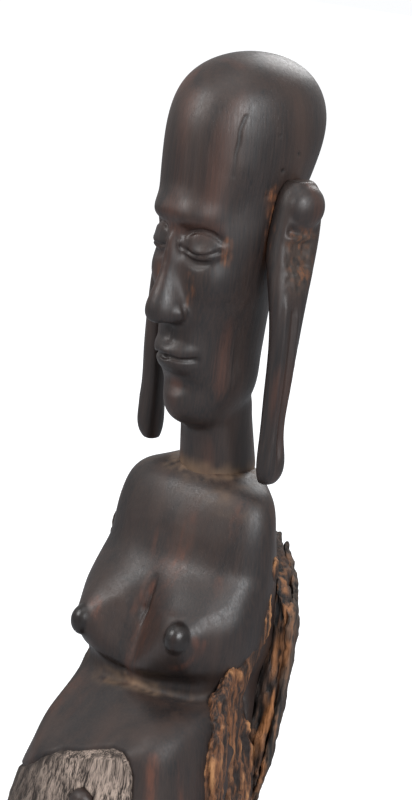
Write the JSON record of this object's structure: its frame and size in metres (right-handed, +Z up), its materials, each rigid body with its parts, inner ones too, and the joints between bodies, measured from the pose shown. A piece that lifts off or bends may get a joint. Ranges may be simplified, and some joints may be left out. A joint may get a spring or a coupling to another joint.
{
  "type": "carved wood bust",
  "caption": "Tall carved blackwood bust with stretched ear loops, on its log base with raw sapwood and bark left at the front, side and back.",
  "frame": {"origin": "middle of the sawn foot, on the surface it stands on", "axes": "+Z up the figure, -Y towards the figure's front, +X to the figure's own left"},
  "size_m": [0.1137, 0.1358, 0.42],
  "materials": {
    "heartwood": "polished, satin gloss",
    "weathered_sapwood": "rough, grey, furrowed along the grain",
    "raw_sapwood": "torn, rough",
    "slab_wood": "torn, rough, dark",
    "bark": "rough, cracked"
  },
  "bodies": {
    "root": {"head": "heartwood", "left_ear_loop": "heartwood", "right_ear_loop": "heartwood", "neck": "heartwood", "torso": "heartwood", "lap_block": "heartwood", "front_sapwood_face": "weathered_sapwood", "front_knot": "heartwood", "left_sapwood_strip": "raw_sapwood", "rear_sapwood_slab": "slab_wood", "rear_bark_plates": "bark"}
  },
  "joints": []
}
